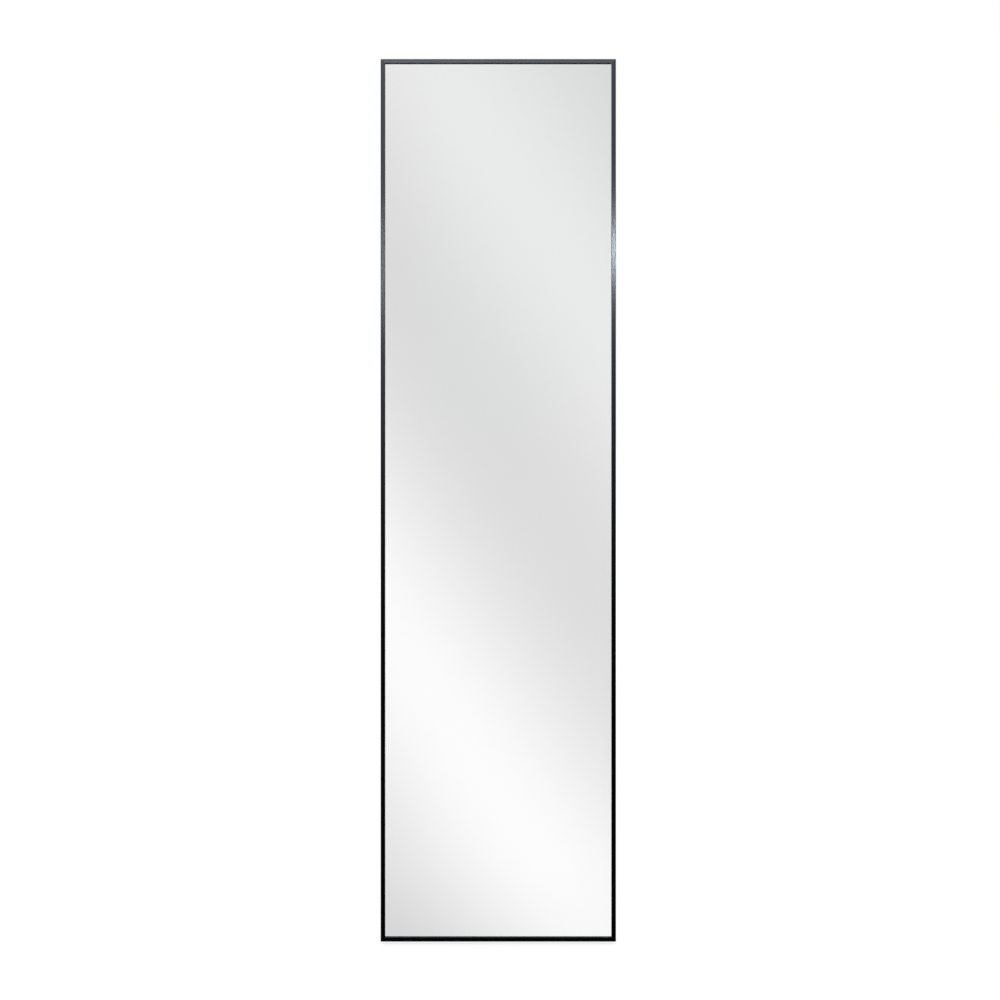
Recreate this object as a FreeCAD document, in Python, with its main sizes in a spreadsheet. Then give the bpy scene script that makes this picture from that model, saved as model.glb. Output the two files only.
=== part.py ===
import FreeCAD, Part
import math
import os

import Sketcher
from FreeCAD import Placement, Rotation, Vector

# A slim, full-length floor mirror that leans back on a fold-flat stand.
#
# The mirror is drawn upright: X runs across it, Y from its face to its back, and Z up from
# its lower edge. Every piece of it is then leaned back together about the lower front edge.
# The stand is drawn hanging straight down from its pivot, and each hanging ring from its bar.
# The origin is on the floor, in the middle of the space that the standing mirror takes up.

doc = FreeCAD.newDocument("floor_mirror")

# Driving dimensions, in millimetres and degrees.
DIMENSIONS = {
    "mirror_width": 400,
    "mirror_height": 1500,
    "frame_depth": 26,
    "face_width": 7.5,
    "lip_thickness": 1.6,
    "wall_thickness": 1.4,
    "chamber_width": 14,
    "outer_rounding": 0.8,
    "lip_rounding": 0.5,
    "glass_thickness": 4,
    "film_thickness": 0.3,
    "foam_thickness": 2.6,
    "board_thickness": 3,
    "edge_gap": 1.2,
    "ground_edge": 0.4,
    "block_length": 30,
    "block_inset": 70,
    "key_play": 0.1,
    "key_arm": 45,
    "key_tip_chamfer": 2,
    "corner_screw_place": 30,
    "screw_radius": 1.95,
    "screw_play": 0.2,
    "screw_length": 8,
    "head_radius": 3.6,
    "head_height": 2,
    "socket_radius": 1.5,
    "socket_depth": 1.1,
    "lean_angle": 12,
    "stand_angle": 5,
    "front_lift": 6,
    "pivot_height": 1000,
    "tube_size": 10,
    "tube_corner": 1,
    "tube_wall": 1,
    "tube_bend": 40,
    "tube_start": 14,
    "eye_radius": 5,
    "eye_width": 10,
    "neck_width": 7.6,
    "neck_thickness": 6.4,
    "collar_height": 2,
    "spigot_length": 26,
    "spigot_play": 0.02,
    "eye_pin_radius": 1.5,
    "eye_pin_drop": 27,
    "eye_pin_stand_off": 0.3,
    "pin_radius": 3,
    "pin_play": 0.05,
    "pin_head_radius": 5,
    "pin_head_height": 2,
    "bracket_sheet": 1.5,
    "bracket_bend": 2,
    "bracket_corner": 4,
    "bracket_rise": 12,
    "bracket_tail": 56,
    "bracket_inset": 0.5,
    "first_hinge_screw": 26,
    "second_hinge_screw": 46,
    "washer_thickness": 1.2,
    "washer_radius": 5,
    "eye_play": 0.3,
    "stop_gap": 0.1,
    "sleeve_wall": 1.5,
    "sleeve_rounding": 1.2,
    "sleeve_length": 40,
    "sleeve_place": 100,
    "ring_height": 1300,
    "ring_inset": 8,
    "ring_bar": 2,
    "ring_play": 0.1,
    "ring_radius": 7.5,
    "ring_side": 8,
    "ring_corner": 2,
    "strap_width": 8,
    "strap_sheet": 1,
    "strap_length": 42,
    "strap_lap": 0.5,
    "strap_corner": 3,
    "first_strap_screw": 21,
    "second_strap_screw": 35,
    "pad_place": 150,
    "pad_length": 40,
    "pad_front": 15,
    "pad_back": 25,
    "pad_chamfer": 2,
    "bumper_radius": 5,
    "bumper_height": 3,
    "bumper_inset": 7.5,
}

dims = doc.addObject("Spreadsheet::Sheet", "dims")
for row, (alias, value) in enumerate(DIMENSIONS.items(), start=1):
    dims.set(f"A{row}", alias)
    dims.set(f"B{row}", str(value))
    dims.setAlias(f"B{row}", alias)
doc.recompute()

# Places across the section of the frame, from the outer side inward.
FACE = "dims.face_width"
WALL = "dims.wall_thickness"
CHAMBER = "dims.chamber_width"
CHAMBER_MIDDLE = "(dims.chamber_width / 2)"
CHAMBER_INSIDE = "(dims.chamber_width - dims.wall_thickness)"
GLASS_EDGE = "(dims.wall_thickness + dims.edge_gap)"

# Places through the depth of the frame, from its face to its back.
LIP = "dims.lip_thickness"
FILM_FRONT = "(dims.lip_thickness + dims.glass_thickness)"
FOAM_FRONT = f"({FILM_FRONT} + dims.film_thickness)"
BOARD_FRONT = f"({FOAM_FRONT} + dims.foam_thickness)"
LEDGE = f"({BOARD_FRONT} + dims.board_thickness)"
CHAMBER_FRONT = f"({LEDGE} + dims.wall_thickness)"
BACK = "dims.frame_depth"
CHAMBER_BACK = "(dims.frame_depth - dims.wall_thickness)"
PIVOT_DEPTH = f"(({LEDGE} + dims.frame_depth) / 2)"

# Places across the width at the stand's hinge, from the middle outward.
INNER_WALL = "(dims.mirror_width / 2 - dims.chamber_width)"
OUTER_CHEEK = f"({INNER_WALL} - dims.bracket_sheet)"
LEG = f"({OUTER_CHEEK} - dims.washer_thickness - dims.eye_play - dims.eye_width / 2)"
INNER_CHEEK = f"(2 * {LEG} - {OUTER_CHEEK})"

# The loop of a hanger strap lies on the back of the frame, round the bar of its ring.
LOOP_RADIUS = "(dims.ring_bar / sqrt(2) + dims.ring_play)"
LOOP_OUTSIDE = f"({LOOP_RADIUS} + dims.strap_sheet)"
RING_DEPTH = f"(dims.frame_depth + {LOOP_OUTSIDE})"
RING_PLACE = "(dims.mirror_width / 2 - dims.ring_inset)"

# The lean of the mirror, and where the space that it takes up begins.
LEAN = "(dims.lean_angle * 1 deg)"
FRONT_EDGE = f"(-(dims.frame_depth * cos({LEAN}) + dims.mirror_height * sin({LEAN})) / 2)"


def leaned_y(depth, height):
    """The place along Y of a point of the leaning mirror."""
    return f"({FRONT_EDGE} + {depth} * cos({LEAN}) + {height} * sin({LEAN}))"


def leaned_z(depth, height):
    """The height above the floor of a point of the leaning mirror."""
    return f"(dims.front_lift - {depth} * sin({LEAN}) + {height} * cos({LEAN}))"


PIVOT_ABOVE_FLOOR = leaned_z(PIVOT_DEPTH, "dims.pivot_height")
STAND_TILT = "(dims.stand_angle * 1 deg)"
SLEEVE_HALF = "(dims.tube_size / 2 + dims.sleeve_wall)"
LEG_LENGTH = f"(({PIVOT_ABOVE_FLOOR} - {SLEEVE_HALF}) / cos({STAND_TILT}))"
OPENING = "((dims.lean_angle + dims.stand_angle) * 1 deg)"

# The stop of the stand is the lower edge of the web at the back of the hinge bracket. The
# neck of the opened eye rests on it, so its drop below the pivot follows from the opening.
WEB_FRONT = "(dims.frame_depth - dims.bracket_sheet)"
PIVOT_TO_WEB = f"({WEB_FRONT} - {PIVOT_DEPTH})"
NECK_REACH = "(dims.neck_thickness / 2 + dims.stop_gap)"
WEB_DROP = f"(({PIVOT_TO_WEB} * cos({OPENING}) - {NECK_REACH}) / sin({OPENING}))"

SCREW_HOLE = "(dims.screw_radius + dims.screw_play)"
PIN_HOLE = "(dims.pin_radius + dims.pin_play)"
# The round cross pins touch the eight flats of their holes.
EYE_PIN_HOLE = "(dims.eye_pin_radius / cos(22.5 deg))"

SIDES = {"left": -1, "right": 1}
ENDS = ("bottom", "top")
PLANES = {"x": "YZ_Plane", "y": "XZ_Plane", "z": "XY_Plane"}
CLOSE = 0.01

nodes = []


def number(expression):
    """The value of an expression over the sheet."""
    value = dims.evalExpression(expression)
    return float(getattr(value, "Value", value))


def across(side, inset):
    """The place along X of a point at an inset from the left or right outer side."""
    return f"({SIDES[side]} * (dims.mirror_width / 2 - {inset}))"


def outward(side, place):
    """The place along X of a point at a distance from the middle."""
    return f"({SIDES[side]} * {place})"


def along(end, inset):
    """The place along Z of a point at an inset from the lower or upper outer side."""
    if end == "bottom":
        return f"({inset})"
    return f"(dims.mirror_height - {inset})"


# Sketches: each is square to one axis, at a place along it.


def new_body(label):
    """A body that is written as one node."""
    body = doc.addObject("PartDesign::Body", label)
    body.Label = label
    nodes.append(body)
    return body


def new_template(label):
    """A body that only serves a group of equal pieces."""
    return doc.addObject("PartDesign::Body", label)


def new_sketch(body, name, axis, place="0"):
    """A sketch square to an axis of its body, at a place along that axis."""
    sketch = body.newObject("Sketcher::SketchObject", f"{body.Name}_{name}")
    for feature in body.Origin.OriginFeatures:
        if feature.Role == PLANES[axis]:
            sketch.AttachmentSupport = [(feature, "")]
    sketch.MapMode = "FlatFace"
    # The plane across Y faces -Y, so a place along +Y is behind it.
    turn = "-1 * " if axis == "y" else ""
    sketch.setExpression("AttachmentOffset.Base.z", f"{turn}{place}")
    return sketch


def hold_point(sketch, edge, corner, point):
    """Binds one point of a sketch's edge to two expressions."""
    for kind, expression in zip(("DistanceX", "DistanceY"), point):
        held = sketch.addConstraint(
            Sketcher.Constraint(kind, -1, 1, edge, corner, number(expression))
        )
        sketch.setExpression(f"Constraints[{held}]", expression)


def draw_outline(sketch, points):
    """A closed outline of straight edges through points given as expressions."""
    places = [Vector(number(x), number(y), 0) for x, y in points]
    edges = []
    for place, following in zip(places, places[1:] + places[:1]):
        edges.append(sketch.addGeometry(Part.LineSegment(place, following)))
    for edge, following in zip(edges, edges[1:] + edges[:1]):
        sketch.addConstraint(Sketcher.Constraint("Coincident", edge, 2, following, 1))
    for edge, point in zip(edges, points):
        hold_point(sketch, edge, 1, point)


def draw_rectangle(sketch, low, high):
    """A rectangle between two opposite corners."""
    corners = [low, (high[0], low[1]), high, (low[0], high[1])]
    draw_outline(sketch, corners)


def draw_square(sketch, centre, size, corner=None):
    """A square about a centre, with its corners cut off when a size is given for them."""
    x, y = centre
    half = f"{size} / 2"
    low_x, high_x = f"({x} - {half})", f"({x} + {half})"
    low_y, high_y = f"({y} - {half})", f"({y} + {half})"
    if corner is None:
        draw_rectangle(sketch, (low_x, low_y), (high_x, high_y))
        return
    outline = [
        (f"({low_x} + {corner})", low_y),
        (f"({high_x} - {corner})", low_y),
        (high_x, f"({low_y} + {corner})"),
        (high_x, f"({high_y} - {corner})"),
        (f"({high_x} - {corner})", high_y),
        (f"({low_x} + {corner})", high_y),
        (low_x, f"({high_y} - {corner})"),
        (low_x, f"({low_y} + {corner})"),
    ]
    draw_outline(sketch, outline)


def draw_circle(sketch, centre, radius):
    """A circle about a centre."""
    place = Vector(number(centre[0]), number(centre[1]), 0)
    edge = sketch.addGeometry(Part.Circle(place, Vector(0, 0, 1), number(radius)))
    hold_point(sketch, edge, 3, centre)
    held = sketch.addConstraint(Sketcher.Constraint("Radius", edge, number(radius)))
    sketch.setExpression(f"Constraints[{held}]", radius)


def draw_polygon(sketch, centre, radius, sides):
    """A polygon with equal sides about a centre, with its corners at a radius."""
    x, y = centre
    corners = []
    for count in range(sides):
        turn = f"{count * 360 // sides} deg"
        corners.append((f"({x} + {radius} * cos({turn}))", f"({y} + {radius} * sin({turn}))"))
    draw_outline(sketch, corners)


def draw_shank(sketch, centre, radius):
    """The section of a thin shank or of the hole round it, with eight flats and few faces."""
    draw_polygon(sketch, centre, radius, 8)


# Features.


def add_pad(body, name, sketch, length, way="both"):
    """A pad of a sketch to both sides of it, or only up or down its axis."""
    pad = body.newObject("PartDesign::Pad", f"{body.Name}_{name}")
    pad.Profile = sketch
    pad.setExpression("Length", length)
    if way == "both":
        pad.SideType = "Symmetric"
    else:
        faces_down = "XZ_Plane" in sketch.AttachmentSupport[0][0].Role
        pad.Reversed = (way == "up") == faces_down
    doc.recompute()
    return pad


def add_pocket(body, name, sketch, depth):
    """A pocket that reaches half its depth to each side of its sketch."""
    before = body.Shape.Volume
    pocket = body.newObject("PartDesign::Pocket", f"{body.Name}_{name}")
    pocket.Profile = sketch
    pocket.SideType = "Symmetric"
    pocket.setExpression("Length", depth)
    doc.recompute()
    if not body.Shape.Volume < before:
        raise RuntimeError(f"{pocket.Name} cuts nothing")
    return pocket


def edges_along(feature, axis, places):
    """The straight edges along an axis at places given by their other two coordinates."""
    others = [i for i in range(3) if i != "xyz".index(axis)]
    wanted = [(number(first), number(second)) for first, second in places]
    found = []
    for count, edge in enumerate(feature.Shape.Edges, start=1):
        low = edge.BoundBox
        spans = (low.XLength, low.YLength, low.ZLength)
        if max(spans[i] for i in others) > CLOSE:
            continue
        middle = edge.CenterOfMass
        for first, second in wanted:
            if math.hypot(middle[others[0]] - first, middle[others[1]] - second) < CLOSE:
                found.append(f"Edge{count}")
    return found


def round_off(feature, edges, radius):
    """Fillets on chosen edges of a feature."""
    body = feature.getParentGeoFeatureGroup()
    fillet = body.newObject("PartDesign::Fillet", f"{feature.Name}_rounded")
    fillet.Base = (feature, edges)
    fillet.setExpression("Radius", radius)
    doc.recompute()
    return fillet


def chamfer_off(feature, edges, size):
    """Chamfers on chosen edges or faces of a feature."""
    body = feature.getParentGeoFeatureGroup()
    chamfer = body.newObject("PartDesign::Chamfer", f"{feature.Name}_chamfered")
    chamfer.Base = (feature, edges)
    chamfer.setExpression("Size", size)
    doc.recompute()
    return chamfer


# Placements.


def set_placement(piece, angle, place):
    """Turns a piece about X and moves it."""
    for letter, value in zip("xyz", ("1", "0", "0")):
        piece.setExpression(f"Placement.Rotation.Axis.{letter}", value)
    piece.setExpression("Placement.Rotation.Angle", angle)
    for letter, value in zip("xyz", place):
        piece.setExpression(f"Placement.Base.{letter}", value)


def lean(piece):
    """Leans a piece of the mirror back about the lower front edge."""
    set_placement(piece, "-dims.lean_angle", ("0", FRONT_EDGE, "dims.front_lift"))


def hang_from_pivot(piece):
    """Puts a piece of the stand at the pivot, opened to its stop."""
    place = ("0", leaned_y(PIVOT_DEPTH, "dims.pivot_height"), PIVOT_ABOVE_FLOOR)
    set_placement(piece, "dims.stand_angle", place)


def make_group(label, template, places):
    """One node of equal solids, at places with a turn about Z each."""
    links = []
    for count, (place, turn) in enumerate(places):
        link = doc.addObject("App::Link", f"{label}_{count}")
        link.LinkedObject = template
        link.Placement = Placement(Vector(), Rotation(Vector(0, 0, 1), turn))
        for letter, value in zip("xyz", place):
            link.setExpression(f"Placement.Base.{letter}", value)
        links.append(link)
    group = doc.addObject("Part::Compound", label)
    group.Label = label
    group.Links = links
    nodes.append(group)
    return group


# The frame: four lengths of one extruded profile, mitred. A thin lip in front holds the
# glass, a ledge behind holds the board, and the closed chamber takes the corner keys.

PROFILE = [
    ("0", "0"),
    (FACE, "0"),
    (FACE, LIP),
    (WALL, LIP),
    (WALL, LEDGE),
    (CHAMBER, LEDGE),
    (CHAMBER, BACK),
    ("0", BACK),
]
HOLLOW = [
    (WALL, CHAMBER_FRONT),
    (CHAMBER_INSIDE, CHAMBER_FRONT),
    (CHAMBER_INSIDE, CHAMBER_BACK),
    (WALL, CHAMBER_BACK),
]
BEYOND = f"(-{CHAMBER})"
PAST_MITRE = f"(2 * {CHAMBER})"
THROUGH_FRAME = "(4 * dims.frame_depth)"
THROUGH_WALL = "(4 * dims.wall_thickness)"


def cut_mitre(body, side, end, waste):
    """Cuts one end of a length of profile at 45 degrees; waste is its outline's far corner."""
    sketch = new_sketch(body, f"mitre_{side}_{end}", "y")
    outline = [(BEYOND, BEYOND), (PAST_MITRE, PAST_MITRE), waste]
    draw_outline(sketch, [(across(side, x), along(end, z)) for x, z in outline])
    add_pocket(body, f"mitred_{side}_{end}", sketch, THROUGH_FRAME)


def drill_back(body, name, places, radius):
    """Screw holes through the back wall of a length of profile."""
    sketch = new_sketch(body, name, "y", BACK)
    for place in places:
        draw_shank(sketch, place, radius)
    add_pocket(body, f"{name}_drilled", sketch, THROUGH_WALL)


def hinge_screw_heights():
    """The heights of the screws that hold a hinge bracket."""
    drops = ("dims.first_hinge_screw", "dims.second_hinge_screw")
    return [f"(dims.pivot_height + {drop})" for drop in drops]


def strap_screw_heights():
    """The heights of the screws that hold a hanger strap."""
    drops = ("dims.first_strap_screw", "dims.second_strap_screw")
    return [f"(dims.ring_height - {drop})" for drop in drops]


def make_stile(side):
    """An upright side of the frame."""
    body = new_body(f"{side}_stile")
    section = new_sketch(body, "section", "z")
    for outline in (PROFILE, HOLLOW):
        draw_outline(section, [(across(side, x), y) for x, y in outline])
    bar = add_pad(body, "bar", section, "dims.mirror_height", "up")
    outer = [(across(side, "0"), "0"), (across(side, "0"), BACK)]
    bar = round_off(bar, edges_along(bar, "z", outer), "dims.outer_rounding")
    lip = [(across(side, FACE), "0")]
    round_off(bar, edges_along(bar, "z", lip), "dims.lip_rounding")
    for end in ENDS:
        cut_mitre(body, side, end, (PAST_MITRE, BEYOND))

    middle = across(side, CHAMBER_MIDDLE)
    corner_screws = [(middle, along(end, "dims.corner_screw_place")) for end in ENDS]
    drill_back(body, "corner_holes", corner_screws, SCREW_HOLE)
    strap_screws = [(outward(side, RING_PLACE), height) for height in strap_screw_heights()]
    drill_back(body, "strap_holes", strap_screws, "dims.screw_radius")
    sketch = new_sketch(body, "hinge_holes", "x", outward(side, INNER_WALL))
    for height in hinge_screw_heights():
        draw_shank(sketch, (PIVOT_DEPTH, height), "dims.screw_radius")
    add_pocket(body, "hinge_tapped", sketch, THROUGH_WALL)
    lean(body)


def make_rail(end):
    """The top or bottom of the frame."""
    body = new_body(f"{end}_rail")
    section = new_sketch(body, "section", "x")
    for outline in (PROFILE, HOLLOW):
        draw_outline(section, [(y, along(end, x)) for x, y in outline])
    bar = add_pad(body, "bar", section, "dims.mirror_width")
    outer = [("0", along(end, "0")), (BACK, along(end, "0"))]
    bar = round_off(bar, edges_along(bar, "x", outer), "dims.outer_rounding")
    lip = [("0", along(end, FACE))]
    round_off(bar, edges_along(bar, "x", lip), "dims.lip_rounding")
    for side in SIDES:
        cut_mitre(body, side, end, (BEYOND, PAST_MITRE))

    place = along(end, CHAMBER_MIDDLE)
    corner_screws = [(across(side, "dims.corner_screw_place"), place) for side in SIDES]
    drill_back(body, "corner_holes", corner_screws, SCREW_HOLE)
    lean(body)


# Corner keys: cast L pieces that fill the chambers across each mitre.

KEY_OUTER = "(dims.wall_thickness + dims.key_play)"
KEY_INNER = "(dims.chamber_width - dims.wall_thickness - dims.key_play)"
KEY_BACK = f"({CHAMBER_BACK} - dims.key_play)"
KEY_DEPTH = f"({KEY_BACK} - {CHAMBER_FRONT} - dims.key_play)"
KEY_SCREWS = [
    (CHAMBER_MIDDLE, "dims.corner_screw_place"),
    ("dims.corner_screw_place", CHAMBER_MIDDLE),
]


def make_corner_key(side, end):
    """The key inside one corner, with a tapped hole in each arm."""
    body = new_body(f"corner_key_{end}_{side}")
    sketch = new_sketch(body, "shape", "y", KEY_BACK)
    arm = "dims.key_arm"
    outline = [
        (KEY_OUTER, KEY_OUTER),
        (arm, KEY_OUTER),
        (arm, KEY_INNER),
        (KEY_INNER, KEY_INNER),
        (KEY_INNER, arm),
        (KEY_OUTER, arm),
    ]
    draw_outline(sketch, [(across(side, x), along(end, z)) for x, z in outline])
    casting = add_pad(body, "casting", sketch, KEY_DEPTH, "down")
    tips = [(arm, KEY_OUTER), (arm, KEY_INNER), (KEY_INNER, arm), (KEY_OUTER, arm)]
    tips = [(across(side, x), along(end, z)) for x, z in tips]
    chamfer_off(casting, edges_along(casting, "y", tips), "dims.key_tip_chamfer")
    holes = new_sketch(body, "holes", "y")
    for x, z in KEY_SCREWS:
        draw_shank(holes, (across(side, x), along(end, z)), "dims.screw_radius")
    add_pocket(body, "tapped", holes, THROUGH_FRAME)
    lean(body)


# Screws: one socket-head screw, pointing from the back of the frame to its face.


def make_screw():
    """The screw that the groups repeat, with the seat of its head at the origin."""
    body = new_template("screw")
    head_circle = new_sketch(body, "head_circle", "y")
    draw_circle(head_circle, ("0", "0"), "dims.head_radius")
    add_pad(body, "head", head_circle, "dims.head_height", "up")
    shank = new_sketch(body, "shank_shape", "y")
    draw_shank(shank, ("0", "0"), "dims.screw_radius")
    add_pad(body, "shank", shank, "dims.screw_length", "down")
    socket = new_sketch(body, "socket", "y", "dims.head_height")
    draw_polygon(socket, ("0", "0"), "dims.socket_radius", 6)
    add_pocket(body, "socketed", socket, "(2 * dims.socket_depth)")
    return body


def make_screw_groups(screw):
    """The screws of the corners, the hinge brackets and the hanger straps."""
    corner_places = []
    for side in SIDES:
        for end in ENDS:
            for x, z in KEY_SCREWS:
                corner_places.append(((across(side, x), BACK, along(end, z)), 0))
    hinge_places = []
    strap_places = []
    strap_face = "(dims.frame_depth + dims.strap_sheet)"
    for side, sign in SIDES.items():
        for height in hinge_screw_heights():
            hinge_places.append(((outward(side, OUTER_CHEEK), PIVOT_DEPTH, height), 90 * sign))
        for height in strap_screw_heights():
            strap_places.append(((outward(side, RING_PLACE), strap_face, height), 0))
    for label, places in (
        ("corner_screws", corner_places),
        ("hinge_screws", hinge_places),
        ("hanger_screws", strap_places),
    ):
        lean(make_group(label, screw, places))


# The pane and what lies behind it: glass, safety film, foam and board.


def make_pane(label, front, thickness):
    """A flat sheet that fills the groove of the frame, one gap short of its walls."""
    body = new_body(label)
    sketch = new_sketch(body, "shape", "y", front)
    low = (across("left", GLASS_EDGE), along("bottom", GLASS_EDGE))
    high = (across("right", GLASS_EDGE), along("top", GLASS_EDGE))
    draw_rectangle(sketch, low, high)
    pane = add_pad(body, "sheet", sketch, thickness, "up")
    lean(body)
    return pane


def make_glass():
    """The mirror glass, with its sharp edges ground off."""
    pane = make_pane("mirror_glass", LIP, "dims.glass_thickness")
    flats = []
    for count, face in enumerate(pane.Shape.Faces, start=1):
        if face.BoundBox.YLength < CLOSE:
            flats.append(f"Face{count}")
    chamfer_off(pane, flats, "dims.ground_edge")


def make_setting_blocks():
    """Two rubber blocks that carry the lower edge of the glass."""
    body = new_template("block")
    sketch = new_sketch(body, "shape", "z")
    low = ("(-dims.block_length / 2)", LIP)
    high = ("(dims.block_length / 2)", FILM_FRONT)
    draw_rectangle(sketch, low, high)
    add_pad(body, "block", sketch, "dims.edge_gap", "up")
    places = [((across(side, "dims.block_inset"), "0", WALL), 0) for side in SIDES]
    lean(make_group("setting_blocks", body, places))


# The hinge of the stand. The bracket is pressed from sheet: an outer cheek on the stile, an
# inner cheek, and the web between them at the back, whose lower edge stops the stand.


def make_hinge_bracket(side):
    """The bracket on one stile."""
    body = new_body(f"hinge_bracket_{side}")
    front = f"({LEDGE} + dims.bracket_inset)"
    foot = f"(dims.pivot_height - {WEB_DROP})"
    rise = "(dims.pivot_height + dims.bracket_rise)"
    tail = "(dims.pivot_height + dims.bracket_tail)"
    inner_way = "up" if side == "left" else "down"

    outer = new_sketch(body, "outer", "x", outward(side, INNER_WALL))
    draw_rectangle(outer, (front, foot), (BACK, tail))
    cheek = add_pad(body, "outer_cheek", outer, "dims.bracket_sheet", inner_way)
    corners = [(front, foot), (front, tail), (BACK, tail)]
    round_off(cheek, edges_along(cheek, "x", corners), "dims.bracket_corner")

    web = new_sketch(body, "web", "y", BACK)
    low = (outward(side, f"({INNER_CHEEK} - dims.bracket_sheet)"), foot)
    high = (outward(side, OUTER_CHEEK), rise)
    draw_rectangle(web, low, high)
    add_pad(body, "web_plate", web, "dims.bracket_sheet", "down")

    inner = new_sketch(body, "inner", "x", outward(side, INNER_CHEEK))
    draw_rectangle(inner, (front, foot), (BACK, rise))
    cheek = add_pad(body, "inner_cheek", inner, "dims.bracket_sheet", inner_way)
    inner_face = outward(side, f"({INNER_CHEEK} - dims.bracket_sheet)")
    bend = round_off(cheek, edges_along(cheek, "z", [(inner_face, BACK)]), "dims.bracket_bend")
    corners = edges_along(bend, "x", [(front, foot), (front, rise)])
    inside = number(inner_face)
    sheet = number("dims.bracket_sheet")
    of_inner = []
    for name in corners:
        if abs(bend.Shape.getElement(name).CenterOfMass.x - inside) < sheet:
            of_inner.append(name)
    round_off(bend, of_inner, "dims.bracket_corner")

    pivot = new_sketch(body, "pivot", "x", outward(side, LEG))
    draw_circle(pivot, (PIVOT_DEPTH, "dims.pivot_height"), PIN_HOLE)
    add_pocket(body, "pivot_hole", pivot, "(4 * dims.eye_width)")
    screws = new_sketch(body, "screws", "x", outward(side, INNER_WALL))
    for height in hinge_screw_heights():
        draw_shank(screws, (PIVOT_DEPTH, height), SCREW_HOLE)
    add_pocket(body, "screw_holes", screws, "(4 * dims.bracket_sheet)")
    lean(body)


def make_pivot_pin(side):
    """The pin of one hinge, with its head inside the inner cheek."""
    body = new_body(f"pivot_pin_{side}")
    inner_way, outer_way = ("up", "down") if side == "left" else ("down", "up")
    head_seat = f"({INNER_CHEEK} - dims.bracket_sheet)"
    centre = (PIVOT_DEPTH, "dims.pivot_height")
    head_circle = new_sketch(body, "head_circle", "x", outward(side, head_seat))
    draw_circle(head_circle, centre, "dims.pin_head_radius")
    add_pad(body, "head", head_circle, "dims.pin_head_height", inner_way)
    shank_circle = new_sketch(body, "shank_circle", "x", outward(side, head_seat))
    draw_circle(shank_circle, centre, "dims.pin_radius")
    add_pad(body, "shank", shank_circle, f"({INNER_WALL} - {head_seat})", outer_way)
    lean(body)


def make_pivot_washers():
    """Four nylon washers, one between each cheek and its eye."""
    body = new_template("washer")
    sketch = new_sketch(body, "ring", "x")
    centre = (PIVOT_DEPTH, "dims.pivot_height")
    draw_circle(sketch, centre, "dims.washer_radius")
    draw_circle(sketch, centre, PIN_HOLE)
    add_pad(body, "washer", sketch, "dims.washer_thickness")
    half = "dims.washer_thickness / 2"
    places = []
    for side in SIDES:
        for place in (f"({OUTER_CHEEK} - {half})", f"({INNER_CHEEK} + {half})"):
            places.append(((outward(side, place), "0", "0"), 0))
    lean(make_group("pivot_washers", body, places))


# The stand: one square tube bent into a U, with an eye in each end and rubber sleeves below.

TUBE_INSIDE = "(dims.tube_size - 2 * dims.tube_wall)"
ACROSS_TUBE = "(2 * dims.tube_size)"


def make_stand_tube():
    """The bent tube, hollow from end to end."""
    body = new_body("stand_tube")
    path = new_sketch(body, "path", "y")
    leg = number(LEG)
    bend = number("dims.tube_bend")
    start = -number("dims.tube_start")
    bottom = -number(LEG_LENGTH)
    turn = leg - bend
    up = Vector(0, 0, 1)
    right_centre = Vector(turn, bottom + bend, 0)
    left_centre = Vector(-turn, bottom + bend, 0)
    quarter = math.pi / 2
    runs = [
        Part.LineSegment(Vector(leg, start, 0), Vector(leg, bottom + bend, 0)),
        Part.ArcOfCircle(Part.Circle(right_centre, up, bend), -quarter, 0),
        Part.LineSegment(Vector(turn, bottom, 0), Vector(-turn, bottom, 0)),
        Part.ArcOfCircle(Part.Circle(left_centre, up, bend), 2 * quarter, 3 * quarter),
        Part.LineSegment(Vector(-leg, bottom + bend, 0), Vector(-leg, start, 0)),
    ]
    for run in runs:
        path.addGeometry(run)
    # An arc runs anticlockwise, so the path meets its end first and leaves by its start.
    joins = [(0, 2, 1, 2), (1, 1, 2, 1), (2, 2, 3, 2), (3, 1, 4, 1)]
    for join in joins:
        path.addConstraint(Sketcher.Constraint("Tangent", *join))
    for arc in (1, 3):
        held = path.addConstraint(Sketcher.Constraint("Radius", arc, bend))
        path.setExpression(f"Constraints[{held}]", "dims.tube_bend")
    hold_point(path, 0, 1, (LEG, "(-dims.tube_start)"))
    hold_point(path, 4, 2, (f"(-{LEG})", "(-dims.tube_start)"))
    level = path.addConstraint(Sketcher.Constraint("DistanceY", -1, 1, 2, 1, bottom))
    path.setExpression(f"Constraints[{level}]", f"(-{LEG_LENGTH})")

    section = new_sketch(body, "section", "z", "(-dims.tube_start)")
    draw_square(section, (LEG, "0"), "dims.tube_size", "dims.tube_corner")
    draw_square(section, (LEG, "0"), TUBE_INSIDE)
    pipe = body.newObject("PartDesign::AdditivePipe", "bent_tube")
    pipe.Profile = section
    pipe.Spine = (path, [f"Edge{count}" for count in range(1, len(runs) + 1)])
    doc.recompute()

    holes = new_sketch(body, "pin_holes", "y")
    for side in SIDES:
        draw_shank(holes, (outward(side, LEG), "(-dims.eye_pin_drop)"), EYE_PIN_HOLE)
    add_pocket(body, "pin_drilled", holes, ACROSS_TUBE)
    hang_from_pivot(body)


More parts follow.
